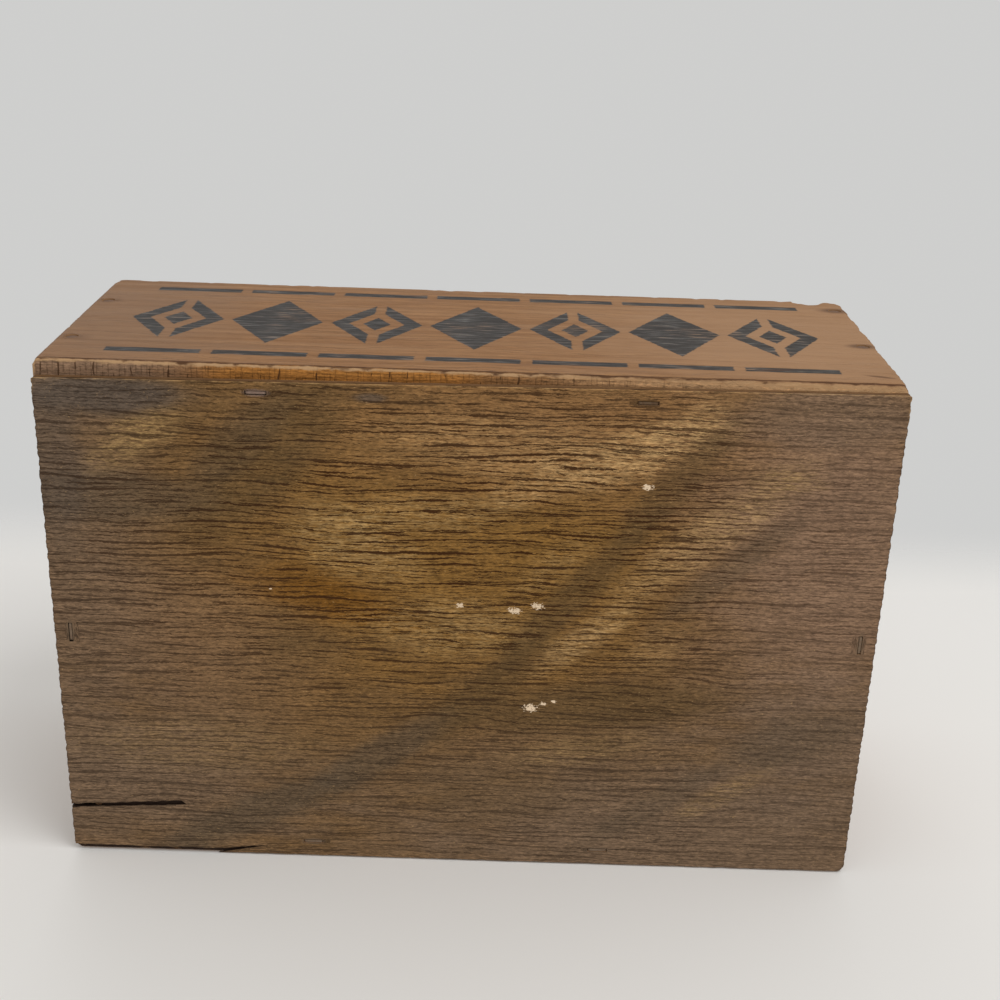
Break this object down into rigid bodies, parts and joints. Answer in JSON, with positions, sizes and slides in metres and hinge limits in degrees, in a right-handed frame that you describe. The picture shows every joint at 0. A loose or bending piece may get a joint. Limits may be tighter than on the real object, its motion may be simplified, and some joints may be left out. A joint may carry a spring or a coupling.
{
  "type": "wooden egg crate",
  "caption": "Small open-topped wooden crate of nailed boards on a stapled plywood bottom, with a worn stencil on its front, for carrying and keeping eggs.",
  "frame": {"origin": "middle of the bottom panel's underside, on the surface that the crate stands on", "axes": "+X along the crate's length, -Y out of the printed front board, +Z up out of the open top; the picture shows the crate tipped onto its back board, with this frame's -Y up and -Z towards the camera"},
  "size_m": [0.254, 0.167, 0.098],
  "materials": {
    "printed_board": "bare tan softwood with worn blue-black stencil ink, matt",
    "plain_board": "bare tan softwood, saw-marked edges, matt",
    "weathered_veneer": "grey-brown weathered veneer with long dark pores, matt",
    "core_veneer": "cross-grain core veneer, raw edges",
    "inner_veneer": "brown veneer with open pores, cleaner than the underside",
    "nail_steel": "rust-brown nail heads",
    "staple_steel": "dull grey wire, tarnished"
  },
  "bodies": {
    "root": {"front_board": "printed_board", "back_board": "plain_board", "left_end_board": "plain_board", "right_end_board": "plain_board", "bottom_outer_veneer": "weathered_veneer", "bottom_core_veneer": "core_veneer", "bottom_inner_veneer": "inner_veneer", "nail_front_left_low": "nail_steel", "nail_front_left_high": "nail_steel", "nail_front_right_low": "nail_steel", "nail_front_right_high": "nail_steel", "nail_back_left_low": "nail_steel", "nail_back_left_high": "nail_steel", "nail_back_right_low": "nail_steel", "nail_back_right_high": "nail_steel", "staple_front_left": "staple_steel", "staple_front_right": "staple_steel", "staple_back_left": "staple_steel", "staple_back_right": "staple_steel", "staple_left_end": "staple_steel", "staple_right_end": "staple_steel"}
  },
  "joints": []
}
